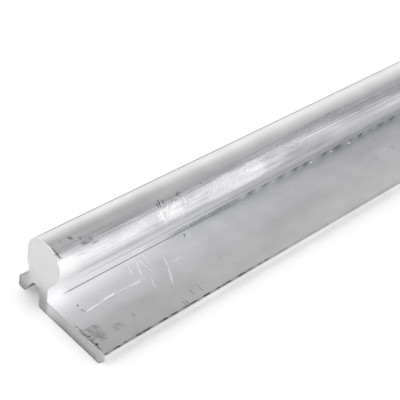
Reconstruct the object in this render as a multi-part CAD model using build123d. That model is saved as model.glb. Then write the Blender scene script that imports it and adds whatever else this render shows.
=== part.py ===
from build123d import *
import os
from math import acos, asin, atan2, cos, hypot, radians, sin, tan

# Sizes in mm. The section is drawn with x along the flange, counted from the web's outer
# face, and z up from the flange's underside; the bar then runs along Y.
length = 1000.0

flange_width = 30.0
flange_thick = 5.3
tip_cut_width = 2.4        # bevel under the flange's free edge
tip_cut_height = 2.9
edge_r = 0.3               # slight break on the edges that the die leaves nearly sharp

web_thick = 3.8
web_free = 5.0             # bare web between the flange and the slope under the bead
foot_r = 0.8
root_r = 0.4

bead_dia = 15.0
bead_out = 6.5             # how far the bead's flat side stands out past the web's outer face
throat = 1.3               # the slope leaves the web this far below the bead's round
flat_drop = 5.2            # the flat side reaches this far below the bead's axis
neck_in = 0.9              # shallow neck between the flat side and the lip
neck_slope = 1.5
neck_length = 1.9

lip_reach = 9.7            # from the web's outer face to the lip's side
lip_drop = 9.1             # from the foot of the neck down to the lip's end
lip_end = 2.85             # width of the lip's flat end
lip_outer_angle = 50.0
lip_root = 2.7             # metal between the foot of the neck and the roof of the recess
lip_r = 0.6
recess_r = 2.0             # rounded roof of the recess between the lip and the web

bead_r = bead_dia / 2
bead_x = bead_r - bead_out
web_top = flange_thick + web_free
bead_z = web_top + throat + bead_r
neck_x = neck_in - bead_out
neck_top = bead_z - flat_drop - neck_slope
neck_foot = neck_top - neck_length


def slope_touch():
    """Where the straight slope that rises from the web touches the bead's round."""
    back = atan2(web_top - bead_z, web_thick - bead_x)
    turn = acos(bead_r / hypot(web_top - bead_z, web_thick - bead_x))
    return bead_x + bead_r * cos(back + turn), bead_z + bead_r * sin(back + turn)


def lip_corners():
    """The lip's three outer corners: the end of its top slope, its heel and its toe."""
    slope_end = neck_foot - (lip_reach + neck_x) * tan(radians(lip_outer_angle))
    end_z = neck_foot - lip_drop
    return (-lip_reach, slope_end), (-lip_reach, end_z), (lip_end - lip_reach, end_z)


def recess_roof():
    """The arc over the recess, from the lip's inner face to the web's outer face."""
    toe_x, toe_z = lip_corners()[2]
    centre_x, centre_z = -recess_r, neck_foot - lip_root - recess_r
    reach = hypot(centre_x - toe_x, centre_z - toe_z)
    rise = atan2(centre_z - toe_z, centre_x - toe_x) + asin(recess_r / reach)
    lip_side = (centre_x - recess_r * sin(rise), centre_z + recess_r * cos(rise))
    return lip_side, (centre_x, centre_z + recess_r), (0, centre_z)


def corner(section, x, z):
    """The section's vertex nearest to (x, z)."""
    return min(section.vertices(), key=lambda v: hypot(v.X - x, v.Y - z))


def bar_section():
    """The closed cross-section, drawn flat with its edges broken."""
    touch = slope_touch()
    slope_end, heel, toe = lip_corners()
    lip_side, roof, web_side = recess_roof()
    tip_x = flange_width - tip_cut_width
    outline = Polyline(
        web_side,
        (0, 0),
        (tip_x, 0),
        (flange_width, tip_cut_height),
        (flange_width, flange_thick),
        (web_thick, flange_thick),
        (web_thick, web_top),
        touch,
    )
    outline += ThreePointArc(touch, (bead_x, bead_z + bead_r), (-bead_out, bead_z))
    outline += Polyline(
        (-bead_out, bead_z),
        (-bead_out, bead_z - flat_drop),
        (neck_x, neck_top),
        (neck_x, neck_foot),
        slope_end,
        heel,
        toe,
        lip_side,
    )
    outline += ThreePointArc(lip_side, roof, web_side)
    section = make_face(outline)
    broken = [
        ((0, 0), foot_r),
        ((tip_x, 0), edge_r),
        ((flange_width, tip_cut_height), edge_r),
        ((flange_width, flange_thick), edge_r),
        ((web_thick, flange_thick), root_r),
        ((-bead_out, bead_z - flat_drop), edge_r),
        (slope_end, lip_r),
        (heel, lip_r),
        (toe, lip_r),
    ]
    for point, radius in broken:
        section = fillet(corner(section, *point), radius)
    return section


def bar():
    """The section drawn out along Y, with the origin under the middle of the bar."""
    middle = (flange_width - lip_reach) / 2
    upright = Rot(90, 0, 0) * extrude(bar_section(), amount=length)
    return Pos(-middle, length / 2, 0) * upright


os.makedirs("parts", exist_ok=True)
export_step(bar(), "parts/bar.step")
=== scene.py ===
import bmesh
import bpy
from math import acos, asin, atan2, cos, hypot, pi, radians, sin, tan
from mathutils import Matrix, Vector
from random import Random


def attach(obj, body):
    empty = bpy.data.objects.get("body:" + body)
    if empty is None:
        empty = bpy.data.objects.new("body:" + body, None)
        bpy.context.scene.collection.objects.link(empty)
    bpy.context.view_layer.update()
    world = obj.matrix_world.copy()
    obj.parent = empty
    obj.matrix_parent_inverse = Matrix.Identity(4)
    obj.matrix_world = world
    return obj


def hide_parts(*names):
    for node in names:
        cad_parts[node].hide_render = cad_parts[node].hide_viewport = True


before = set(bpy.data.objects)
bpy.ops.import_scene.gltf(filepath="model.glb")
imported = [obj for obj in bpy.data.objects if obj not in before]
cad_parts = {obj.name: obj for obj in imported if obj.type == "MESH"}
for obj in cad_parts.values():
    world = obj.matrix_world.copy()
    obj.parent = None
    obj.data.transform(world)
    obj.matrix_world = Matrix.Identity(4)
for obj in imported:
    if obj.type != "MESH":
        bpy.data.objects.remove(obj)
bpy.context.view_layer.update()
mm = 0.001


# wraps a node's output, so that shader maths reads as plain sums
class Sock:
    def __init__(self, graph, node, out=0):
        self.graph, self.node = graph, node
        self.out = pick(node.outputs, out) if node.outputs else None

    def other(self, out):                     # another output of the same node
        return Sock(self.graph, self.node, out)

    def calc(self, operation, *values, clamp=False):
        return self.graph.add("ShaderNodeMath", {"operation": operation, "use_clamp": clamp},
                              dict(enumerate(values)))

    def __add__(self, other):
        return self.calc("ADD", self, other)

    def __sub__(self, other):
        return self.calc("SUBTRACT", self, other)

    def __rsub__(self, other):
        return self.calc("SUBTRACT", other, self)

    def __mul__(self, other):
        return self.calc("MULTIPLY", self, other)

    def __truediv__(self, other):
        return self.calc("DIVIDE", self, other)

    def __abs__(self):
        return self.calc("ABSOLUTE", self)

    def __gt__(self, other):
        return self.calc("GREATER_THAN", self, other)

    __radd__, __rmul__ = __add__, __mul__

    def high(self, other):
        return self.calc("MAXIMUM", self, other)

    def sine(self):
        return self.calc("SINE", self)

    def floor(self):
        return self.calc("FLOOR", self)

    def fract(self):
        return self.calc("FRACT", self)

    def ramp(self, start, end, low=0.0, high=1.0):
        return self.graph.add("ShaderNodeMapRange", {"interpolation_type": "SMOOTHSTEP"},
                              {0: self, 1: start, 2: end, 3: low, 4: high})

    def near(self, middle, reach, soft):      # 1 within reach of the middle, fading out over soft
        return abs(self - middle).ramp(reach + soft, reach)


def pick(sockets, key):
    if isinstance(key, int):
        return sockets[key]
    for socket in sockets:
        if key in (socket.identifier, socket.name) and socket.enabled:
            return socket
    raise KeyError(key)


seedShift = (3.17, 7.31)                     # how far apart in the noise one seed and the next lie
noiseRoughness = 0.55


class Graph:
    def __init__(self, tree):
        self.tree = tree

    def add(self, kind, settings=None, values=None, out=0):
        node = self.tree.nodes.new(kind)
        for name, value in (settings or {}).items():
            setattr(node, name, value)
        for key, value in (values or {}).items():
            self.put(pick(node.inputs, key), value)
        return Sock(self, node, out)

    def put(self, socket, value):
        if isinstance(value, Sock):
            self.tree.links.new(value.out, socket)
        else:
            socket.default_value = value

    def vector(self, operation, a, b, out="Vector"):
        return self.add("ShaderNodeVectorMath", {"operation": operation}, {0: a, 1: b}, out)

    def join(self, x, y, z=0.0):
        return self.add("ShaderNodeCombineXYZ", {}, {0: x, 1: y, 2: z})

    def mixColor(self, factor, a, b):
        return self.add("ShaderNodeMix", {"data_type": "RGBA"},
                        {"Factor_Float": factor, "A_Color": a, "B_Color": b}, "Result_Color")

    def grain(self, x, y, detail, seed):             # noise from -1 to 1 over two stretched lengths
        spot = self.join(x + seed * seedShift[0], y + seed * seedShift[1])
        value = self.add("ShaderNodeTexNoise", {"noise_dimensions": "2D"}, {
            "Vector": spot, "Scale": 1.0, "Detail": detail, "Roughness": noiseRoughness})
        return value * 2.0 - 1.0

    def tones(self, value, stops):                   # grey from (place, grey) stops
        ramp = self.add("ShaderNodeValToRGB", {}, {0: value})
        band = ramp.node.color_ramp
        while len(band.elements) < len(stops):
            band.elements.new(1.0)
        for element, (place, grey) in zip(band.elements, stops):
            element.position, element.color = place, (grey, grey, grey, 1)
        return ramp


# the bar's section, in mm
barSizes = {
    "length": 1000.0,
    "flangeWidth": 30.0, "flangeThick": 5.3,
    "tipCutWidth": 2.4, "tipCutHeight": 2.9, "edgeRound": 0.3,
    "webThick": 3.8, "webFree": 5.0, "footRound": 0.8, "rootRound": 0.4,
    "beadRound": 7.5, "beadOut": 6.5, "throat": 1.3, "flatDrop": 5.2,
    "neckIn": 0.9, "neckSlope": 1.5, "neckLength": 1.9,
    "lipReach": 9.7, "lipDrop": 9.1, "lipEnd": 2.85, "lipAngle": 50.0,
    "lipRoot": 2.7, "lipRound": 0.6, "recessRound": 2.0,
    "beadSteps": 96, "roofSteps": 24, "cornerSteps": 5, "cornerHold": 0.16,
    "stations": 163, "mapStrips": 3, "sawnEdge": 0.12,
}


def arcPoints(cx, cz, radius, start, end, steps):
    return [(cx + radius * cos(start + (end - start) * i / steps),
             cz + radius * sin(start + (end - start) * i / steps)) for i in range(steps + 1)]


def roundCorner(before, point, after, radius, steps):
    corner = Vector(point)
    a, b = (Vector(before) - corner).normalized(), (Vector(after) - corner).normalized()
    half = a.angle(b) / 2
    centre = corner + (a + b).normalized() * radius / sin(half)
    first, last = corner + a * radius / tan(half), corner + b * radius / tan(half)
    start = atan2(*(first - centre).yx)
    turn = (atan2(*(last - centre).yx) - start + pi) % (2 * pi) - pi
    return arcPoints(centre.x, centre.y, radius, start, start + turn, steps)


def sectionOutline(s):
    # x from the web's outer face, z from the flange's underside, counterclockwise.
    # The loop starts in the middle of the underside, where the map's seam is out of sight.
    webTop = s["flangeThick"] + s["webFree"]
    beadX, beadZ = s["beadRound"] - s["beadOut"], webTop + s["throat"] + s["beadRound"]
    away = atan2(webTop - beadZ, s["webThick"] - beadX)
    turn = acos(s["beadRound"] / hypot(webTop - beadZ, s["webThick"] - beadX))
    neckX = s["neckIn"] - s["beadOut"]
    neckTop = beadZ - s["flatDrop"] - s["neckSlope"]
    neckFoot = neckTop - s["neckLength"]
    lipEndZ = neckFoot - s["lipDrop"]
    toe = (s["lipEnd"] - s["lipReach"], lipEndZ)
    slopeEnd = (-s["lipReach"], neckFoot - (s["lipReach"] + neckX) * tan(radians(s["lipAngle"])))
    roofX, roofZ = -s["recessRound"], neckFoot - s["lipRoot"] - s["recessRound"]
    acrossX, acrossZ = roofX - toe[0], roofZ - toe[1]
    rise = atan2(acrossZ, acrossX) + asin(s["recessRound"] / hypot(acrossX, acrossZ))
    edge, lipRound = s["edgeRound"], s["lipRound"]
    bead = arcPoints(beadX, beadZ, s["beadRound"], away + turn, pi, s["beadSteps"])
    roof = arcPoints(roofX, roofZ, s["recessRound"], rise + pi / 2, 0, s["roofSteps"])
    corners = [                                # x, z, rounding
        (s["flangeWidth"] / 2, 0, 0), (s["flangeWidth"] - s["tipCutWidth"], 0, edge),
        (s["flangeWidth"], s["tipCutHeight"], edge), (s["flangeWidth"], s["flangeThick"], edge),
        (s["webThick"], s["flangeThick"], s["rootRound"]), (s["webThick"], webTop, 0),
        *((x, z, 0) for x, z in bead),
        (-s["beadOut"], beadZ - s["flatDrop"], edge), (neckX, neckTop, 0), (neckX, neckFoot, 0),
        (*slopeEnd, lipRound), (-s["lipReach"], lipEndZ, lipRound), (*toe, lipRound),
        *((x, z, 0) for x, z in roof),
        (0, 0, s["footRound"]),
    ]
    rounded = []
    for i, (x, z, radius) in enumerate(corners):
        before, after = corners[i - 1][:2], corners[(i + 1) % len(corners)][:2]
        if radius:
            rounded += roundCorner(before, (x, z), after, radius, s["cornerSteps"])
        else:
            rounded.append((x, z))
    points = []                                # a held point beside each corner keeps flat faces flat
    for a, b in zip(rounded, rounded[1:] + rounded[:1]):
        points.append(a)
        run = Vector(b) - Vector(a)
        if run.length > 4 * s["cornerHold"]:
            step = run.normalized() * s["cornerHold"]
            points += [tuple(Vector(a) + step), tuple(Vector(b) - step)]
    return points


outline = sectionOutline(barSizes)
outlineLength = sum(hypot(b[0] - a[0], b[1] - a[1])
                    for a, b in zip(outline, outline[1:] + outline[:1]))
middle = (barSizes["flangeWidth"] - barSizes["lipReach"]) / 2
print("section drawn with", len(outline), "points,", round(outlineLength, 2), "mm around")


def newMaterial(name):
    material = bpy.data.materials.new(name)
    material.use_nodes = True
    material.node_tree.nodes.clear()
    return material, Graph(material.node_tree)


def metal(g, color, roughness, metallic, height, reach):
    bump = g.add("ShaderNodeBump", {}, {"Strength": 1.0, "Distance": reach, "Height": height})
    shader = g.add("ShaderNodeBsdfPrincipled", {}, {
        "Base Color": color, "Roughness": roughness, "Metallic": metallic, "Normal": bump})
    g.add("ShaderNodeOutputMaterial", {}, {"Surface": shader})


# places on the skin are (along, around) in mm: from the near end, and counterclockwise
# round the section from the middle of the underside
skinLook = {
    "tint": (0.98, 0.975, 1.0), "cornerShadeTint": (0.95, 0.985, 0.99), "grimeColor": (0.07, 0.075, 0.08),
    # the tone round the section holds bands of painted highlight and painted shade set where the
    # reflections fall, and painted shade inside the recess under the lip
    "tones": [                                 # around, tone
        (0, 0.76), (18.3, 0.82), (19.0, 0.64), (20.5, 0.67), (28, 0.71), (40, 0.76), (43.8, 0.80),
        (45, 0.92), (50, 0.95), (57, 1.0), (60, 1.0), (61.2, 0.93), (62.3, 0.84), (65, 0.74),
        (66.7, 0.66), (67.8, 0.76), (70, 0.84), (73.3, 0.87), (75.5, 0.79), (76.7, 0.63), (80, 0.68),
        (90, 0.74), (104.5, 0.6), (106.5, 0.22), (121, 0.2), (124, 0.55), (137.2, 0.7)],
    "dull": [                                  # around, how much the face scatters light
        (0, 0.3), (18.5, 0.2), (20, 0.25), (42, 0.25), (45, 0.35), (52, 0.5), (56, 0.75), (60, 0.75),
        (62, 0.3), (66, 0.15), (90, 0.1), (124, 0.4), (137.2, 0.3)],
    "streaks": [                               # around, strength of the streaks that the die drew
        (0, 0.6), (20, 0.12), (42, 0.15), (45, 0.8), (56, 1.0), (66, 1.0), (69, 0.4), (90, 0.5),
        (137.2, 0.6)],
    "noise": {                                 # waves per mm along and around, detail, seed
        "drift": (0.045, 0.02, 1, 4), "fine": (0.03, 6.5, 2, 0), "mid": (0.015, 1.6, 2, 1),
        "clouds": (0.09, 0.16, 4, 2), "speck": (1.5, 2.4, 2, 8), "rag": (0.14, 0.8, 4, 3),
        "rub": (0.7, 2.2, 3, 5), "paleStreaks": (0.03, 2.1, 3, 13), "palePatches": (0.09, 0.45, 3, 14),
        "pits": (0.9, 2.6, 2, 6), "gaps": (0.3, 0.0, 2, 15), "nicks": (0.55, 0.8, 2, 12)},
    "shows": {                                 # how strongly each noise shows in the tone
        "fine": 0.07, "mid": 0.1, "clouds": 0.12, "speck": 0.05, "brightSpeck": 0.12, "pale": 0.6,
        "wornSheenRub": 0.3, "wornSheenLift": 0.06, "shadeLines": 0.55, "flangeRub": 0.03, "ribs": 0.38},
    "brightSpecks": (0.45, 0.7),
    "shadeLines": (66.6, 1.5, 0.8), "flange": (30, 13, 2),     # around, reach, fade
    "hidden": (150, 190),                      # past what the photo shows, noise scatters the marks
    "far": (55, 120),                          # along, where the far bands come in
    # painted shade: bands on the web and the bead's foot darkened further along the bar
    "farBands": [(46.5, 1.3, 1.5, 0.16), (60.2, 1.4, 1.4, 0.14)],    # around, reach, fade, darkness
    "wornSheen": {                                  # the rubbed band on the bead's side, which also carries a painted highlight
        "edge": 65.7, "drift": 1.2, "rag": 1.7, "rub": (30, 12, 0.7, 1.6),
        "falls": [(78, 50, 0.8), (40, 25, 0.6)],           # along from, to, how far the edge drops
        "dips": [(16, 5, 4, 1.1), (53, 5, 5, 1.3)],        # along, reach, fade, how far it dips
        "soft": (32, 14, 0.3, 0.6), "foot": 60.6, "footSoft": 1.4, "footDip": (72.5, 9.5, 4, 2.1),
        "thins": (94, 116, 1.0, 0.12), "tongue": (64.4, 0.2, 0.6), "tongueEnds": (158, 140),
        "cloudy": (-0.2, 0.3)},
    "pits": {                                  # above the band's edge: how far, reach, fade
        "near": (0.5, 0.3, 0.7), "size": (0.3, 0.5), "from": (10, 30), "dark": 0.5,
        "far": (1.3, 0.6, 0.6), "farSize": (-0.15, 0.3), "farAt": (116, 8, 15), "farDark": 0.7},
    # painted highlight and painted shade, in patches that pale or darken the skin
    "patches": [                               # along, reach, fade, around, reach, fade, how much paler
        (20, 32, 35, 49.5, 4.5, 3, 0.16), (135, 50, 20, 66.2, 0.8, 0.9, 0.27),
        (5, 25, 35, 71.5, 1.2, 1.5, -0.11), (155, 22, 30, 41, 3, 4, -0.08),
        (105, 8, 9, 60.5, 2.2, 1.5, -0.2), (155, 20, 20, 64.2, 1.8, 1.2, -0.24),
        (110, 20, 20, 62.2, 2, 1.2, -0.06), (5, 15, 30, 24, 4, 5, -0.07),
        (7, 6, 14, 46.8, 3.6, 2, 0.22), (8, 6, 8, 62, 4, 2, 0.12), (39, 2, 5, 62.3, 2.5, 2, -0.1),
        (43.5, 3, 2, 62.5, 1.8, 1, 0.12), (71, 10, 5, 62, 2.8, 1.4, 0.13), (92, 6, 5, 62.5, 1, 1, -0.12),
        (18, 12, 12, 47, 0.3, 0.5, 0.14), (14, 14, 12, 65.7, 1.0, 1.0, -0.12),
        (125, 24, 6, 64.3, 0.1, 0.25, 0.2), (147, 9, 4, 63, 0.15, 0.3, 0.2)],
    "milkyGlare": {                                 # the web and the bead's foot near the ends: a duller finish, and a painted highlight that pales them
        "fade": (60, 2), "above": (36, 45), "belowEdge": (0.2, -1.2), "rub": 0.3, "full": 0.9,
        "tone": 1.04, "pale": 0.1, "dull": 0.95},
    "milkyGlarePatches": [                          # as the patches, painted highlight and painted shade, but from either end and over the milkiness
        (15, 7, 7, 64.9, 1.2, 0.8, -0.14), (2, 2, 5, 54.5, 10, 1, 0.2)],
    "lines": [                                 # the die's lines: around, half width, darkness, full from
        (44.65, 0.12, 0.72, 9), (45.85, 0.06, 0.2, 22), (47.7, 0.12, 0.42, 20), (47.7, 0.1, 0.65, 75),
        (49.5, 0.06, 0.2, 22), (57.7, 0.2, 0.5, 12), (59.2, 0.1, 0.2, 20), (61.0, 0.07, 0.18, 22)],
    "lineDrift": 0.05, "lineSoft": 0.12, "lineFade": (60, 100, 1.0, 0.45), "lineStart": 0.3,
    "edgeDirt": {
        "around": 19.2, "half": 0.2, "rag": 0.2, "soft": 0.15, "fade": (45, 95, 1.0, 0.2),
        "gaps": (-0.3, 0.25, 0.3, 1.0)},
    "dashes": [                                # along, darkness of the dirt in the corner
        (44, 0), (52, 0.5), (60, 0.66), (72, 0.72), (80, 0.45), (82, 0.1), (85.6, 0.9), (89, 0),
        (93, 0.8), (97, 0), (100.9, 0.7), (104.6, 0), (108.4, 0.9), (111, 0.2), (113.6, 0.95),
        (117.5, 0), (121, 0.1), (124, 1), (127.5, 0.1), (129.5, 0.7), (132, 0.9), (135.5, 0),
        (139.3, 0.6), (141.8, 0.05), (144.2, 1), (147.3, 0.1), (150.1, 0.5), (152.8, 0.05),
        (156.2, 1), (159.6, 0.1), (162.9, 0.95), (167, 0)],
    "shown": 175.0,                            # the dashes are placed as far as the photo shows
    "dashPitch": 9.4, "dashDrift": 2.5, "dashEnds": (0.4, 0.05), "dashAround": (45.4, 0.4, 0.9),
    "dashTeeth": 3.7, "dashTeethFade": (82, 76, 0.0, 0.18), "dashRag": 0.4,
    "dashRub": (82, 76, 0.2, 0.7), "dashFull": 0.78,
    # painted shade: the flange top in the corner under the bead, slightly darker and tinted
    "cornerShade": [("along", 35, 70), ("along", 185, 150), ("around", 38.5, 43.5), ("around", 44.9, 44.6)],
    "cornerShadeBy": 0.05,
    "blots": (0.15, -0.3, 1.2, 0.6), "blotSize": (-0.45, 0.35),
    "smudgeFade": 0.9, "smudgeRag": 0.5, "smudgeRub": 0.4,
    "smudges": [                               # along, reach, around, reach, darkness
        (2.6, 0.5, 27.6, 1.9, 0.45), (5.0, 0.5, 28.4, 1.2, 0.4), (4.3, 0.9, 25.6, 1.8, 0.45),
        (10.6, 1.4, 25.3, 0.8, 0.25), (7.2, 0.2, 69.3, 0.2, 0.9), (9.9, 0.1, 68.1, 0.1, 0.7),
        (3.9, 0.2, 69.9, 0.2, 0.4), (11.5, 2.0, 66.6, 0.3, 0.45), (150, 0.5, 33.5, 0.3, 0.3),
        (139, 0.8, 33, 0.5, 0.15), (0.4, 0.5, 26, 4.5, 0.35), (44, 2.2, 66.3, 0.5, 0.35),
        (47.1, 0.6, 66.7, 0.3, 0.6)],
    "nickSize": (0.6, 0.68), "nickDark": 0.8,
    "chatter": (65.0, 5.0, 7, 63.0, 1.8, 1.6),     # along, reach, fade, around, reach, fade
    "chatterPitch": 0.78, "chatterSlant": 0.9, "chatterRag": 3.0, "chatterMix": (0.9, 0.8, 0.6),
    # painted shade: a dark line along the bead's top that draws its outline
    "ridge": (77.5, 0.8, 0.6), "ridgeStart": (-2, 6), "ridgeDark": 0.75,
    "tinted": (52, 13, 8),                     # around, reach, fade of the faint tint
    "roughness": 0.25, "relief": 0.00006,
}


def bounded(axes, bounds):
    # product of smooth steps along the named axes
    part = None
    for axis, *limits in bounds:
        step = axes[axis].ramp(*limits)
        part = step if part is None else part * step
    return part


def millSkin():
    look, shows = skinLook, skinLook["shows"]
    material, g = newMaterial("millSkin")
    uv = g.add("ShaderNodeUVMap", {"uv_map": "barMap"})
    split = g.add("ShaderNodeSeparateXYZ", {}, {0: uv})
    a, r = split.other("X") / mm, split.other("Y") / mm
    share = r / outlineLength
    tone, dull, streaky = (g.tones(share, [(at / outlineLength, level) for at, level in look[name]])
                           for name in ("tones", "dull", "streaks"))

    def noise(name):
        perAlong, perAround, detail, seed = look["noise"][name]
        return g.grain(a * perAlong, r * perAround, detail, seed)

    def patch(along, atA, reachA, fadeA, atR, reachR, fadeR, change):
        return along.near(atA, reachA, fadeA) * r.near(atR, reachR, fadeR) * change

    drift = noise("drift")
    hidden = a.ramp(*look["hidden"])
    half = barSizes["length"] / 2
    toEnd = half - abs(a - half)               # both sawn ends are handled alike

    # streaks drawn by the die, stronger on the web and the bead's side
    fine = noise("fine") * streaky
    mid = noise("mid") * streaky
    clouds = noise("clouds")
    speck = noise("speck")
    tone = tone * (1 + fine * shows["fine"] + mid * shows["mid"] + clouds * shows["clouds"]
                   + speck * shows["speck"] + speck.ramp(*look["brightSpecks"]) * shows["brightSpeck"])
    # painted shade: darker bands further along the bar
    far = a.ramp(*look["far"])
    for at, reach, fade, dark in look["farBands"]:
        tone = tone * (1 - far * r.near(at, reach, fade) * dark)

    # rubbed band on the bead's side, with a ragged upper edge and pale streaks and patches in it; its lift
    # in tone is also a painted highlight, with the edge set where the bead's reflection starts
    band = look["wornSheen"]
    rag = noise("rag")
    rub = noise("rub")
    edge = drift * band["drift"] + rag * band["rag"] + rub * a.ramp(*band["rub"]) + band["edge"]
    for start, end, drop in band["falls"]:
        edge = edge - a.ramp(start, end) * drop
    for at, reach, fade, drop in band["dips"]:
        edge = edge - a.near(at, reach, fade) * drop
    above = r - edge
    soft = a.ramp(*band["soft"])
    foot = band["foot"] - a.near(*band["footDip"][:3]) * band["footDip"][3]
    wornSheen = above.ramp(soft, soft * -1) * (r - foot).ramp(-band["footSoft"], 0)
    tongue = (r - drift).near(*band["tongue"]) * a.ramp(*band["tongueEnds"]) * (rub * 0.8 + 0.6)
    wornSheen = wornSheen * a.ramp(*band["thins"]).high(tongue).high(hidden * clouds.ramp(*band["cloudy"]))
    pale = noise("paleStreaks") * 0.6 + noise("palePatches") * 0.6
    tone = tone * (1 + wornSheen * (pale * shows["pale"] + rub * shows["wornSheenRub"] + shows["wornSheenLift"]))
    tone = tone * (1 + fine * r.near(*look["shadeLines"]) * shows["shadeLines"]
                   + rub * r.near(*look["flange"]) * shows["flangeRub"])
    # painted highlight and painted shade in patches
    for values in look["patches"]:
        tone = tone * (1 + patch(a, *values))

    spots = look["pits"]
    pits = above.near(*spots["near"]) * noise("pits").ramp(*spots["size"]) * a.ramp(*spots["from"])
    farPits = above.near(*spots["far"]) * a.near(*spots["farAt"]) * rub.ramp(*spots["farSize"])
    pits = pits.high(farPits * spots["farDark"])

    # painted highlight near both ends on the web and the bead's foot, with a duller finish there
    cast = look["milkyGlare"]
    milkyGlare = toEnd.ramp(*cast["fade"]) * r.ramp(*cast["above"]) * above.ramp(*cast["belowEdge"])
    milkyGlare = milkyGlare * (rub * cast["rub"] + cast["full"])
    tone = tone + milkyGlare * (cast["tone"] + pale * cast["pale"] - tone)
    dull = dull + milkyGlare * (cast["dull"] - dull)
    for values in look["milkyGlarePatches"]:
        tone = tone * (1 + patch(toEnd, *values))

    # fine lines that run the whole length, then the dirt along the edge and in the corner, and painted
    # shade in the corner
    wander = r + drift * look["lineDrift"]
    dirt = pits * spots["dark"]
    drawn = a.ramp(*look["lineFade"])
    for at, reach, dark, full in look["lines"]:
        started = toEnd.ramp(full * look["lineStart"], full)
        dirt = dirt.high(wander.near(at, reach, look["lineSoft"]) * drawn * started * dark)
    line = look["edgeDirt"]
    outside = abs(wander - line["around"]) - (rag * line["rag"] + line["half"])
    dirt = dirt.high(outside.ramp(line["soft"], 0.0) * a.ramp(*line["fade"])
                     * noise("gaps").ramp(*line["gaps"]))
    stops = [(at / look["shown"], level) for at, level in look["dashes"]]
    step = (a + drift * look["dashDrift"]) / look["dashPitch"]
    dash = abs(step.fract() - 0.5).ramp(*look["dashEnds"]) * hidden
    dash = g.tones(a / look["shown"], stops).high(dash)
    teeth = (a * look["dashTeeth"]).sine() * a.ramp(*look["dashTeethFade"]) + rag * look["dashRag"]
    dirt = dirt.high(dash * (r + teeth).near(*look["dashAround"])
                     * (rub * a.ramp(*look["dashRub"]) + look["dashFull"]))
    # painted shade in the corner under the bead
    cornerShade = bounded({"along": a, "around": r}, look["cornerShade"])
    tone = tone * (1 - cornerShade * look["cornerShadeBy"])

    # smudges near the sawn end, and nicks further on
    aX, rX, aY, rY = look["blots"]
    blot = g.grain(a * aX + r * rX, a * aY + r * rY, 3, seed=10).ramp(*look["blotSize"])
    raggedA, raggedR = a + rag * look["smudgeRag"], r + rub * look["smudgeRub"]
    smudgeFade = look["smudgeFade"]
    for atA, reachA, atR, reachR, dark in look["smudges"]:
        spread = raggedA.near(atA, reachA, smudgeFade) * raggedR.near(atR, reachR, smudgeFade)
        dirt = dirt.high(spread * blot * dark)
    nicks = noise("nicks").ramp(*look["nickSize"]) * hidden
    dirt = dirt.high(nicks * look["nickDark"])

    # close ribs left where the bar chattered in the die
    byRub, byPale, always = look["chatterMix"]
    ribs = a * (2 * pi / look["chatterPitch"]) + r * look["chatterSlant"] + rag * look["chatterRag"]
    ribs = ribs.sine()
    ribs = patch(a, *look["chatter"], ribs) * (rub * byRub + pale * byPale + always)
    tone = tone * (1 + ribs * shows["ribs"])

    dirt = dirt.calc("ADD", dirt, 0.0, clamp=True)
    ridge = r.near(*look["ridge"]) * toEnd.ramp(*look["ridgeStart"])    # dark, dull line along the bead's top: painted shade that draws the bead's outline, with a duller finish
    tone = tone * (1 - ridge * look["ridgeDark"])
    grey = g.mixColor(dirt, g.join(tone, tone, tone), (*look["grimeColor"], 1))
    tint = g.mixColor(r.near(*look["tinted"]), (1, 1, 1, 1), (*look["tint"], 1))
    tint = g.mixColor(cornerShade, tint, (*look["cornerShadeTint"], 1))
    color = g.add("ShaderNodeMix", {"data_type": "RGBA", "blend_type": "MULTIPLY"}, {
        "Factor_Float": 1.0, "A_Color": grey, "B_Color": tint}, "Result_Color")
    rough = (look["roughness"] + dull * 0.25 + fine * 0.04 + mid * 0.04 + wornSheen * (rub * 0.1 + 0.1)
             + (dirt + ridge) * 0.3)
    metallic = 1 - dull * 0.55 - wornSheen * 0.1 - dirt * 0.3 - ridge
    height = fine * 0.5 + mid * 0.6 + ribs * 0.8 + rub * wornSheen
    metal(g, color, rough, metallic, height, look["relief"])
    return material


# x and z in mm on the cut face, as in the section
endLook = {
    "face": 0.66,
    # painted shade on the low, thin parts of the cut face
    "shadedLow": [                                # how much darker than the face, and where
        (0.2, [("x", 3.5, 12), ("z", 6.2, 5.2)]),
        (0.29, [("x", 4.8, 2.6), ("x", -2.0, -0.2), ("z", 12.5, 3.5)]),
        (0.18, [("x", -2.8, -7.0), ("z", 12.5, 8.5)]),
        (0.14, [("x", -3.5, -5.5), ("z", 6.0, 2.4)])],
    # painted shade along the flange's underside, near the floor
    "underside": [("z", 3.6, 0), ("x", 1.5, 9), ("x", 25.5, 27.5, 0.38, 0.08)],
    # painted shade, blotchy, low on the web's left and the neck under the bead
    "blotchedShade": [("x", 1.5, -3.5), ("z", 14, 10)], "blotchedShadeBy": 0.16,
    "lipSlope": (-5.6, 10.5, 0.766, 0.643),    # a point of the lip's top slope, and the way into the metal
    # painted shade: dark borders along the cut face's lower and left edges
    "rims": [                                  # dark borders
        [("z", 0.7, 0.25)],
        [("x", -8.95, -9.45)],
        [("slope", 0.5, 0.2), ("x", -5.4, -6.0), ("z", 11.5, 11.0)],
        [("z", 2.0, 1.6), ("x", -6.0, -6.6)],
        [("x", 0.35, 0.1, 0.0, 0.5), ("x", -0.3, 0.0), ("z", 7, 5)]],
    "rim": 0.6,
    # painted shade on the flange tip's bevel
    "bevel": (26.6, 27.4), "bevelBy": 0.75,
    "tipGlint": [("x", 28.8, 29.4), ("z", 3.6, 4.3, 0.0, 0.1)],
    "arcs": 0.05, "blotches": 0.06, "roughness": 0.42, "metallic": 0.9, "relief": 0.00004,
    "sawCentre": (70.0, -95.0), "sawPitch": 3.0,
}


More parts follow.
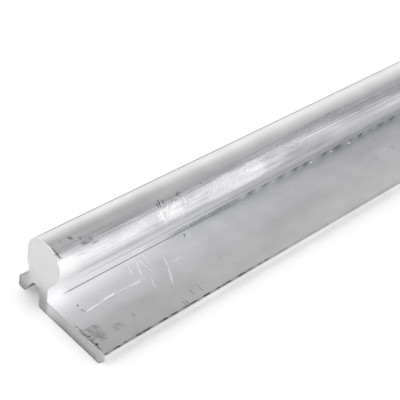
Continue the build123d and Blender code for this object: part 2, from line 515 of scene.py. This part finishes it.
def sawnEnd():
    look = endLook
    material, g = newMaterial("sawnEnd")
    spot = g.add("ShaderNodeTexCoord", {}, {}, "Object")
    split = g.add("ShaderNodeSeparateXYZ", {}, {0: spot})
    x, z = split.other("X") / mm + middle, split.other("Z") / mm
    fromSaw = g.vector("SUBTRACT", g.join(x, z), (*look["sawCentre"], 0))
    away = g.add("ShaderNodeVectorMath", {"operation": "LENGTH"}, {0: fromSaw}, "Value")
    arcs = g.grain(away * look["sawPitch"], x * 0.15, 2, seed=1)
    blotch = g.grain(x * 0.25, z * 0.25, 3, seed=2)
    slopeX, slopeZ, alongX, alongZ = look["lipSlope"]
    slope = (x - slopeX) * alongX - (z - slopeZ) * alongZ
    axes = {"x": x, "z": z, "slope": slope, "bevel": x - z}

    # painted shade: the cut face is darker on its low, thin parts, and the bead stays bright
    tone = look["face"]
    for darker, bounds in look["shadedLow"]:
        tone = tone - bounded(axes, bounds) * darker
    tone = tone * (1 + arcs * look["arcs"] + blotch * look["blotches"])
    # painted shade along the underside, and blotchy painted shade under the bead
    tone = tone * (1 - bounded(axes, look["underside"]))
    tone = tone * (1 - bounded(axes, look["blotchedShade"]) * (blotch * 0.5 + 0.5) * look["blotchedShadeBy"])
    # painted shade along the lower and left borders of the cut face
    rim = bounded(axes, look["rims"][0])
    for bounds in look["rims"][1:]:
        rim = rim.high(bounded(axes, bounds))
    tone = tone * (1 - rim * look["rim"] * (blotch * 0.6 + 1))
    # painted shade at the flange tip's bevel
    tone = tone * (1 - axes["bevel"].ramp(*look["bevel"]) * look["bevelBy"])
    tone = tone + bounded(axes, look["tipGlint"])
    metal(g, g.join(tone, tone, tone * 1.005), arcs * 0.06 + blotch * 0.05 + look["roughness"],
          arcs * 0.02 + look["metallic"], arcs + blotch, look["relief"])
    return material


specksPerMetre = 1800.0


def markMaterial(name, faintTone, fullTone, roughness, metallic):
    material, g = newMaterial(name)
    level = g.add("ShaderNodeAttribute", {"attribute_name": "strength"}, {}, "Fac")
    spot = g.add("ShaderNodeTexCoord", {}, {}, "Object")
    speck = g.add("ShaderNodeTexNoise", {}, {"Vector": spot, "Scale": specksPerMetre, "Detail": 2.0})
    tone = (level * (fullTone - faintTone) + faintTone) * (speck * 0.3 + 0.85)
    metal(g, g.join(tone, tone, tone), speck * 0.1 + roughness, metallic - level * 0.2, speck, 0.00001)
    return material


skinMaterial, endMaterial = millSkin(), sawnEnd()
# scratches are paler metal; the full tone above white is a painted glint on the strongest
scratchGlintMaterial = markMaterial("freshScratchGlint", 0.86, 1.35, 0.5, 0.25)
# dark marks: dirt, and painted shadow under the burrs at the sawn end
grimeShadowMaterial = markMaterial("blackGrimeAndShadow", 0.4, 0.05, 0.6, 0.4)
print("materials made")


def addInputs(tree, inputs):
    face = tree.interface
    face.new_socket("Geometry", in_out="INPUT", socket_type="NodeSocketGeometry")
    for name, kind in inputs:
        face.new_socket(name, in_out="INPUT", socket_type="NodeSocket" + kind)
    face.new_socket("Geometry", in_out="OUTPUT", socket_type="NodeSocketGeometry")
    g = Graph(tree)
    return g, g.add("NodeGroupInput")


def capture(g, geometry, name, value):
    node = g.add("GeometryNodeCaptureAttribute")
    node.node.capture_items.new("FLOAT", name)
    g.put(node.node.inputs[0], geometry)
    g.put(node.node.inputs[1], value)
    return node, node.other(1)


def perFace(g, value):
    return g.add("GeometryNodeFieldOnDomain", {"data_type": "FLOAT", "domain": "FACE"}, {"Value": value})


# the map for baking: the skin's strips one above the other, and both ends in a low row on top
mapSizes = {"endRow": 0.35, "stripFill": 0.97, "endScale": 8.0, "endStep": 0.4, "gap": 0.02}


def sweepTree():
    tree = bpy.data.node_groups.new("sweepBar", "GeometryNodeTree")
    g, given = addInputs(tree, [
        ("Length", "Float"), ("Around", "Float"), ("Stations", "Int"), ("Map Strips", "Float"),
        ("Skin", "Material"), ("End", "Material")])
    length, whole, strips = given.other("Length"), given.other("Around"), given.other("Map Strips")
    profile = g.add("GeometryNodeMeshToCurve", {}, {"Mesh": given.other("Geometry")})
    profile, across = capture(g, profile, "across", g.add("GeometryNodeSplineParameter", {}, {}, "Length"))
    path = g.add("GeometryNodeCurvePrimitiveLine", {}, {
        "Start": g.join(0.0, length * -0.5), "End": g.join(0.0, length * 0.5)})
    path = g.add("GeometryNodeResampleCurve", {}, {"Curve": path, "Count": given.other("Stations")})
    path, along = capture(g, path, "along", g.add("GeometryNodeSplineParameter", {}, {}, "Length"))
    swept = g.add("GeometryNodeCurveToMesh", {}, {
        "Curve": path, "Profile Curve": profile, "Fill Caps": True})
    swept = g.add("GeometryNodeFlipFaces", {}, {"Mesh": swept})

    # real metres along and around, with the loop closed at the seam on the underside
    seam = (perFace(g, across) - across) > whole * 0.25
    around = across + seam * whole
    swept = g.add("GeometryNodeStoreNamedAttribute", {"data_type": "FLOAT2", "domain": "CORNER"},
                  {"Geometry": swept, "Name": "barMap", "Value": g.join(along, around)})

    # the same skin cut into a few strips that fill a square, and the ends beside them
    m = mapSizes
    strip = (perFace(g, along) / length * strips).floor()
    spot = g.add("ShaderNodeSeparateXYZ", {}, {0: g.add("GeometryNodeInputPosition")})
    facing = g.add("ShaderNodeSeparateXYZ", {}, {0: g.add("GeometryNodeInputNormal")})
    onEnd = abs(facing.other("Y")) > 0.9
    farEnd = perFace(g, spot.other("Y")) > 0.0
    rows = strips + m["endRow"]
    skinMap = g.join(along / length * strips - strip,
                     (strip + around / whole * m["stripFill"] + (1 - m["stripFill"]) / 2) / rows)
    endMap = g.join((spot.other("X") + m["gap"]) * m["endScale"] + farEnd * m["endStep"] + m["gap"],
                    (spot.other("Z") * m["endScale"] + strips + m["gap"]) / rows)
    baked = g.add("GeometryNodeSwitch", {"input_type": "VECTOR"}, {
        "Switch": onEnd, "False": skinMap, "True": endMap})
    swept = g.add("GeometryNodeStoreNamedAttribute", {"data_type": "FLOAT2", "domain": "CORNER"},
                  {"Geometry": swept, "Name": "OFBake", "Value": baked})
    swept = g.add("GeometryNodeRealizeInstances", {}, {"Geometry": swept})
    swept = g.add("GeometryNodeSetMaterial", {}, {"Geometry": swept, "Material": given.other("Skin")})
    swept = g.add("GeometryNodeSetMaterial", {}, {
        "Geometry": swept, "Selection": onEnd, "Material": given.other("End")})
    g.add("NodeGroupOutput", {}, {"Geometry": swept})
    return tree


burrSizes = {
    "count": 520, "size": 0.09, "aboveFloor": 0.2, "seed": 5, "stretch": 1.6,
    "scale": (-0.9, 1.0), "keptFrom": 0.15,    # the points with a smaller scale get no burr
}


def burrTree():
    tree = bpy.data.node_groups.new("burrs", "GeometryNodeTree")
    g, given = addInputs(tree, [
        ("Count", "Int"), ("Size", "Float"), ("Seed", "Int"), ("Metal", "Material")])
    edge = g.add("GeometryNodeMeshToCurve", {}, {"Mesh": given.other("Geometry")})
    points = g.add("GeometryNodeCurveToPoints", {}, {"Curve": edge, "Count": given.other("Count")})
    flake = g.add("GeometryNodeMeshCone", {}, {
        "Vertices": 4, "Radius Top": 0.0, "Radius Bottom": given.other("Size"),
        "Depth": given.other("Size") * burrSizes["stretch"]})
    fullTurn = 6.28
    turn = g.add("FunctionNodeRandomValue", {"data_type": "FLOAT_VECTOR"}, {
        "Min": (0, 0, 0), "Max": (fullTurn, fullTurn, fullTurn), "Seed": given.other("Seed")}, "Value")
    least, most = burrSizes["scale"]
    scale = g.add("FunctionNodeRandomValue", {"data_type": "FLOAT"}, {
        "Min": least, "Max": most, "Seed": given.other("Seed") + 1}, "Value_001")
    burrs = g.add("GeometryNodeInstanceOnPoints", {}, {
        "Points": points, "Selection": scale > burrSizes["keptFrom"], "Instance": flake,
        "Rotation": turn, "Scale": scale})
    burrs = g.add("GeometryNodeRealizeInstances", {}, {"Geometry": burrs})
    burrs = g.add("GeometryNodeSetMaterial", {}, {"Geometry": burrs, "Material": given.other("Metal")})
    g.add("NodeGroupOutput", {}, {"Geometry": burrs})
    return tree


def throughTree(name, points, edges, tree, values):
    mesh = bpy.data.meshes.new(name)
    mesh.from_pydata(points, edges, [])
    piece = bpy.data.objects.new(name, mesh)
    bpy.context.collection.objects.link(piece)
    modifier = piece.modifiers.new(tree.name, "NODES")
    modifier.node_group = tree
    for item in tree.interface.items_tree:
        if item.in_out == "INPUT" and item.name in values:
            modifier[item.identifier] = values[item.name]
    depsgraph = bpy.context.evaluated_depsgraph_get()
    made = bpy.data.meshes.new_from_object(piece.evaluated_get(depsgraph), depsgraph=depsgraph)
    made.name = name
    piece.modifiers.clear()
    piece.data = made
    return piece


def ringEdges(count, first=0):
    return [(first + i, first + (i + 1) % count) for i in range(count)]


endCorners = 50                                # only the two end faces have more corners than this


def breakSawnEdges(mesh, width):
    bm = bmesh.new()
    bm.from_mesh(mesh)
    ends = [f for f in bm.faces if len(f.verts) > endCorners]
    bmesh.ops.bevel(bm, geom=[e for f in ends for e in f.edges], offset=width, segments=2, profile=0.5,
                    affect="EDGES", clamp_overlap=True)
    for f in bm.faces:
        f.smooth = len(f.verts) <= endCorners
    bm.to_mesh(mesh)
    bm.free()


def buildBar():
    points = [((x - middle) * mm, -z * mm, 0) for x, z in outline]
    piece = throughTree("bar_skin", points, ringEdges(len(points)), sweepTree(), {
        "Length": barSizes["length"] * mm, "Around": outlineLength * mm, "Stations": barSizes["stations"],
        "Map Strips": float(barSizes["mapStrips"]), "Skin": skinMaterial, "End": endMaterial})
    breakSawnEdges(piece.data, barSizes["sawnEdge"] * mm)
    return piece


def buildBurrs():
    half = barSizes["length"] / 2 - burrSizes["size"]
    points = [((x - middle) * mm, y * mm, max(z, burrSizes["aboveFloor"]) * mm)
              for y in (-half, half) for x, z in outline]
    count = len(outline)
    return throughTree("bar_burrs", points, ringEdges(count) + ringEdges(count, count), burrTree(), {
        "Count": burrSizes["count"], "Size": burrSizes["size"] * mm, "Seed": burrSizes["seed"],
        "Metal": endMaterial})


markLook = {
    "lift": 0.018, "bury": 0.004, "step": 0.35, "widen": 1.9,      # widen turns the widths below to mm
    "shake": 0.04, "shakeAlways": 0.3, "uneven": (0.6, 1.3), "blunt": 0.25, "taper": 4,
    "scratches": [                             # along, around, to along, around, width, strength
        (6.5, 35.1, 12.2, 35.4, 0.17, 0.9), (12.2, 35.4, 14.3, 35.85, 0.14, 0.7),
        (14.0, 35.8, 18.4, 35.96, 0.3, 1.0),
        (116.5, 44.9, 117.3, 44.8, 0.25, 1.0), (127.6, 44.9, 128.3, 44.9, 0.25, 1.0),
        (19.0, 35.9, 23.4, 35.7, 0.11, 0.6), (23.4, 35.7, 28.1, 35.2, 0.16, 0.8),
        (25.0, 35.9, 30.5, 35.7, 0.1, 0.5),
        (33.3, 45.1, 33.2, 46.9, 0.3, 1.0), (33.2, 46.9, 34.0, 47.2, 0.22, 1.0),
        (36.0, 45.0, 36.3, 45.6, 0.3, 1.0), (36.3, 45.6, 36.9, 47.2, 0.3, 1.0),
        (33.3, 43.1, 33.7, 38.5, 0.13, 0.9), (33.7, 38.5, 33.6, 35.7, 0.1, 0.7),
        (36.3, 44.4, 35.0, 38.0, 0.1, 0.6), (31.5, 34.4, 29.5, 30.1, 0.2, 0.15),
        (29.4, 43.4, 28.0, 39.0, 0.35, 0.25), (32.5, 42.5, 29.8, 36.8, 0.32, 0.3),
        (41.0, 39.3, 39.4, 35.4, 0.35, 0.12), (39.4, 35.4, 35.0, 28.2, 0.35, 0.12),
        (40.3, 36.0, 45.8, 35.9, 0.09, 0.7),
        (38.6, 64.5, 39.4, 62.6, 0.2, 0.9), (39.4, 62.6, 41.0, 58.8, 0.22, 1.0),
        (41.0, 58.8, 44.0, 63.8, 0.16, 0.9), (42.5, 60.2, 44.4, 62.9, 0.18, 0.8),
        (48.1, 59.9, 47.2, 57.5, 0.12, 0.7), (38.6, 62.6, 41.0, 60.6, 0.16, 0.8),
        (41.0, 64.4, 41.3, 60.4, 0.16, 0.8), (43.8, 64.6, 43.0, 61.0, 0.18, 0.9),
        (48.7, 65.5, 48.9, 61.8, 0.2, 0.5), (45.1, 57.4, 43.0, 56.1, 0.15, 0.5),
        (137.3, 44.6, 138.2, 44.5, 0.35, 1.0)],
    "grime": [                                 # the same for specks and strokes of dirt, and for painted shadow under the burrs along the sawn end's edges
        (38.5, 67.2, 38.8, 65.4, 0.24, 1.0), (39.6, 67.9, 39.5, 65.5, 0.26, 1.0),
        (41.0, 67.5, 40.9, 66.0, 0.25, 1.0), (46.3, 66.7, 47.3, 66.8, 0.3, 0.8),
        (56.6, 66.5, 57.5, 66.6, 0.25, 0.6), (53.6, 43.5, 52.8, 41.9, 0.22, 1.0),
        (55.5, 28.8, 55.8, 28.5, 0.25, 0.8), (7.5, 34.6, 18.5, 35.2, 0.05, 0.2),
        (5.9, 38.6, 6.5, 38.4, 0.45, 1.0), (5.9, 36.4, 6.3, 36.1, 0.3, 0.7),
        (6.4, 35.7, 6.2, 35.0, 0.2, 0.5), (32.5, 21.6, 32.3, 18.9, 0.15, 0.8),
        (33.4, 21.5, 33.5, 18.7, 0.15, 0.7), (37.7, 23.7, 37.2, 21.2, 0.12, 0.7),
        (41.0, 24.8, 40.7, 20.9, 0.1, 0.6), (40.5, 26.2, 40.6, 25.9, 0.15, 0.6),
        (16.8, 26.9, 17.1, 25.3, 0.2, 0.4), (7.0, 69.3, 7.5, 69.2, 0.3, 1.0),
        (9.8, 66.0, 12.6, 66.0, 0.2, 0.6), (12.6, 65.1, 15.1, 65.0, 0.15, 0.3),
        (0.3, 69.4, 0.8, 67.4, 0.26, 0.65), (0.7, 67.6, 1.2, 65.4, 0.36, 0.75),
        (1.1, 65.9, 1.8, 64.9, 0.2, 0.6), (0.9, 27.3, 1.4, 26.7, 0.32, 0.9),
        (1.2, 25.9, 1.6, 25.3, 0.26, 0.8), (0.7, 23.9, 1.3, 23.2, 0.4, 1.0),
        (0.2, 22.6, 0.5, 21.6, 0.25, 1.0), (0.15, 19.0, 1.6, 18.9, 0.26, 1.0),
        (5.2, 18.85, 6.9, 18.75, 0.18, 1.0), (50.4, 64.6, 51.2, 64.0, 0.1, 0.4),
        (51.6, 64.4, 52.3, 64.1, 0.1, 0.4), (49.8, 63.8, 50.3, 63.5, 0.1, 0.3),
        (0.3, 28.5, 0.6, 26.8, 0.16, 0.8), (0.6, 26.0, 0.8, 24.9, 0.2, 0.9),
        (0.7, 23.9, 0.8, 22.8, 0.32, 1.0)],
    "scuffs": {
        "count": 130, "along": (37.6, 47.6), "around": (60.0, 65.6), "length": (0.4, 2.4),
        "width": (0.05, 0.14), "turn": (pi / 2, 0.5), "shorten": 0.6, "strength": (0.4, 1.0)},
    "endSpecks": {
        "count": 75, "along": (0.1, 0.75), "around": (20.5, 37.5), "reach": (0.25, 1.1),
        "slant": (-0.2, 0.3), "fadeOver": 24, "width": (0.05, 0.24), "strength": (0.5, 1.0)},
    "scattered": {                             # over the length that the photo doesn't show
        "seed": 21, "from": 170.0, "endGap": 3,
        "flange": (19.5, 44.0), "bead": (45.5, 86.0), "flangeShare": 0.6,    # where a bar gets scratched
        "scratches": {"count": 190, "turn": 0.7, "length": (1, 3), "power": 2.2, "endGap": 1,
                      "width": (0.07, 0.28), "strength": (0.2, 1)},
        "grime": {"count": 120, "around": (18.5, 86), "reach": (0.15, 1.1), "flatten": 0.7,
                  "width": (0.1, 0.3), "strength": (0.4, 1)}},
}


def onSkin(along, around, lift):
    # the place that many mm along and around, lifted outwards
    around %= outlineLength
    for a, b in zip(outline, outline[1:] + outline[:1]):
        run = hypot(b[0] - a[0], b[1] - a[1])
        if around <= run:
            break
        around -= run
    x, z = a[0] + (b[0] - a[0]) * around / run, a[1] + (b[1] - a[1]) * around / run
    x, z = x + (b[1] - a[1]) / run * lift, z - (b[0] - a[0]) / run * lift
    return (x - middle) * mm, (along - barSizes["length"] / 2) * mm, z * mm


def addMark(bm, level, slot, mark, look, chance):
    # a low ridge of metal or dirt, three-sided, that tapers to a point at both ends
    x0, y0, x1, y1, width, strength = mark
    width *= look["widen"]
    run = Vector((x1 - x0, y1 - y0))
    aside = Vector((-run.y, run.x)).normalized()
    count = max(3, round(run.length / look["step"]))
    blunt, taper = look["blunt"], look["taper"]
    rings = []
    for i in range(count + 1):
        t = i / count
        shake = aside * chance.uniform(-1, 1) * look["shake"] * (width * 2 + look["shakeAlways"])
        here = Vector((x0, y0)) + run * t + shake
        swell = chance.uniform(*look["uneven"]) * min(1, blunt + taper * t, blunt + taper * (1 - t))
        half = aside * (width / 2 * swell)
        rings.append([bm.verts.new(onSkin(*(here - half), -look["bury"])),
                      bm.verts.new(onSkin(*here, look["lift"])),
                      bm.verts.new(onSkin(*(here + half), -look["bury"]))])
        for vert in rings[-1]:
            vert[level] = strength
    faces = []
    for a, b in zip(rings, rings[1:]):
        for k in range(3):
            faces.append(bm.faces.new((a[k], a[(k + 1) % 3], b[(k + 1) % 3], b[k])))
    faces += [bm.faces.new(rings[0][::-1]), bm.faces.new(rings[-1])]
    for face in faces:
        face.material_index = slot


def scatteredMarks(look, chance):
    scratches, grime = [], []
    lastStart = barSizes["length"] - look["endGap"]
    kind = look["scratches"]
    for _ in range(kind["count"]):
        along = chance.uniform(look["from"], lastStart)
        side = look["flange"] if chance.random() < look["flangeShare"] else look["bead"]
        around = chance.uniform(*side)
        turn = chance.gauss(0, kind["turn"])
        length = chance.uniform(*kind["length"]) ** kind["power"]
        rise = max(min(length * sin(turn), side[1] - around), side[0] - around)
        end = min(along + length * cos(turn), barSizes["length"] - kind["endGap"])
        width = chance.uniform(*kind["width"])
        scratches.append((along, around, end, around + rise, width, chance.uniform(*kind["strength"])))
    kind = look["grime"]
    for _ in range(kind["count"]):
        along = chance.uniform(look["from"], lastStart)
        around = chance.uniform(*kind["around"])
        reach = chance.uniform(*kind["reach"])
        turn = chance.uniform(0, pi)
        end, rise = along + reach * cos(turn), reach * kind["flatten"] * sin(turn)
        width = chance.uniform(*kind["width"])
        grime.append((along, around, end, around + rise, width, chance.uniform(*kind["strength"])))
    return scratches, grime


def endSpecks(look, chance):
    # dark specks along the top edge of the flange's sawn end: chips and dirt, and painted shadow under the
    # burrs there
    grime = []
    for _ in range(look["count"]):
        along, around, reach = (chance.uniform(*look[key]) for key in ("along", "around", "reach"))
        full = 1 - (around - look["around"][0]) / look["fadeOver"]
        end = along + chance.uniform(*look["slant"])
        width = chance.uniform(*look["width"]) * full
        grime.append((along, around, end, around - reach, width, chance.uniform(*look["strength"]) * full))
    return grime


def scuffs(look, chance):
    # a patch of short fine scratches, most of them across the bar
    marks = []
    for _ in range(look["count"]):
        along, around, length, width = (chance.uniform(*look[key])
                                        for key in ("along", "around", "length", "width"))
        turn = chance.gauss(*look["turn"])
        length *= look["shorten"]
        marks.append((along, around, along + length * cos(turn), around - length * sin(turn),
                      width, chance.uniform(*look["strength"])))
    return marks


def buildMarks():
    look, chance = markLook, Random(markLook["scattered"]["seed"])
    scratches, grime = scatteredMarks(look["scattered"], chance)
    grime += endSpecks(look["endSpecks"], chance)
    scratches += scuffs(look["scuffs"], chance)
    mesh = bpy.data.meshes.new("bar_marks")
    bm = bmesh.new()
    level = bm.verts.layers.float.new("strength")
    for slot, marks in enumerate((look["scratches"] + scratches, look["grime"] + grime)):
        for mark in marks:
            addMark(bm, level, slot, mark, look, chance)
    bmesh.ops.recalc_face_normals(bm, faces=bm.faces)
    bm.to_mesh(mesh)
    bm.free()
    mesh.materials.append(scratchGlintMaterial)
    mesh.materials.append(grimeShadowMaterial)
    piece = bpy.data.objects.new("bar_marks", mesh)
    bpy.context.collection.objects.link(piece)
    return piece


pieces = [buildBar(), buildBurrs(), buildMarks()]
for piece in pieces:
    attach(piece, "root")
    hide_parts("bar")
    print(piece.name, "made with", len(piece.data.polygons), "faces")


studio = {
    "rise": (0.35, 0.9, 1.0, 0.46),            # the room is pale up to, darkest from, and both levels
    "dimSide": (0.453, 0.853, 0.259), "dimBy": 0.62,       # one side of the room is dim
    "dimSpread": (0.766, 0.951), "dimTint": (0.93, 0.95, 1.0),
    "floorSize": 8.0, "floorDrop": 0.00005, "floorTone": 0.9,
    # the floor's glow fades near the object by ambient occlusion: painted shadow where the object stands
    "floorGlow": 0.25, "evenGlow": 0.09, "contactShadowReach": 0.02,
    "aim": (0, -0.42, 0),
    "lamps": {                                # power, place, size, colour
        "sideBox": (1.25, (0.97, -0.05, 0.36), (0.6, 0.7), (0.965, 0.96, 1.0)),
        "frontBox": (9.0, (0.1, -1.7, 1.2), (1.2, 1.2), (1.0, 1.0, 1.0)),
    },
}


def buildFloor():
    r, under = studio["floorSize"], -studio["floorDrop"]
    mesh = bpy.data.meshes.new("floor")
    mesh.from_pydata([(-r, -r, under), (r, -r, under), (r, r, under), (-r, r, under)], [], [(0, 1, 2, 3)])
    floor = bpy.data.objects.new("floor", mesh)
    bpy.context.collection.objects.link(floor)
    material, g = newMaterial("paleFloor")
    tone = studio["floorTone"]
    paint = g.add("ShaderNodeBsdfDiffuse", {}, {"Color": (tone, tone, tone, 1)})
    path = g.add("ShaderNodeLightPath")
    seen = path.other("Is Camera Ray").high(path.other("Is Glossy Ray"))
    # painted shadow: ambient occlusion dims the floor's glow near the object
    contactShadow = g.add("ShaderNodeAmbientOcclusion", {}, {"Distance": studio["contactShadowReach"]}, "AO")
    glow = g.add("ShaderNodeEmission", {}, {
        "Strength": seen * (contactShadow * studio["floorGlow"] + studio["evenGlow"])})
    both = g.add("ShaderNodeAddShader", {}, {0: paint, 1: glow})
    g.add("ShaderNodeOutputMaterial", {}, {"Surface": both})
    mesh.materials.append(material)


def buildWorld():
    world = bpy.data.worlds.new("studio")
    bpy.context.scene.world = world
    world.use_nodes = True
    world.node_tree.nodes.clear()
    g = Graph(world.node_tree)
    direction = g.add("ShaderNodeTexCoord", {}, {}, "Generated")
    rise = g.add("ShaderNodeSeparateXYZ", {}, {0: direction}, "Z")
    room = rise.ramp(*studio["rise"])
    dim = g.vector("DOT_PRODUCT", direction, studio["dimSide"], "Value").ramp(*studio["dimSpread"])
    room = room * (1 - dim * studio["dimBy"])
    seen = g.add("ShaderNodeLightPath", {}, {}, "Is Camera Ray")
    tint = g.mixColor(dim * (1 - seen), (1, 1, 1, 1), (*studio["dimTint"], 1))
    back = g.add("ShaderNodeBackground", {}, {"Color": tint, "Strength": room + seen * (1 - room)})
    g.add("ShaderNodeOutputWorld", {}, {"Surface": back})


def addLamp(name, power, place, size, color):
    data = bpy.data.lights.new(name, "AREA")
    data.shape, data.energy, data.color = "RECTANGLE", power, color
    data.size, data.size_y = size
    lamp = bpy.data.objects.new(name, data)
    aim = (Vector(studio["aim"]) - Vector(place)).to_track_quat("-Z", "Y").to_matrix().to_4x4()
    lamp.matrix_world = Matrix.Translation(place) @ aim
    bpy.context.collection.objects.link(lamp)


buildFloor()
buildWorld()
for name, values in studio["lamps"].items():
    addLamp(name, *values)
print("floor, room and lamps made")

view = {"place": (0.16925, -0.65135, 0.241275), "yaw": -39.69, "pitch": 39.42, "roll": -10.26,
        "lens": 100.8, "sensor": 36.0}


def buildCamera():
    yaw, pitch, roll = (radians(view[k]) for k in ("yaw", "pitch", "roll"))
    ahead = Vector((sin(yaw) * cos(pitch), cos(yaw) * cos(pitch), -sin(pitch)))
    right = Vector((cos(yaw), -sin(yaw), 0))
    down = ahead.cross(right)
    tilted = right * cos(roll) + down * sin(roll)
    below = down * cos(roll) - right * sin(roll)
    data = bpy.data.cameras.new("photoView")
    data.lens, data.sensor_width, data.clip_start = view["lens"], view["sensor"], 0.01
    camera = bpy.data.objects.new("photoView", data)
    turned = Matrix((tilted, -below, -ahead)).transposed().to_4x4()
    camera.matrix_world = Matrix.Translation(view["place"]) @ turned
    bpy.context.collection.objects.link(camera)
    bpy.context.scene.camera = camera


buildCamera()
bpy.context.scene.view_settings.view_transform = "Standard"
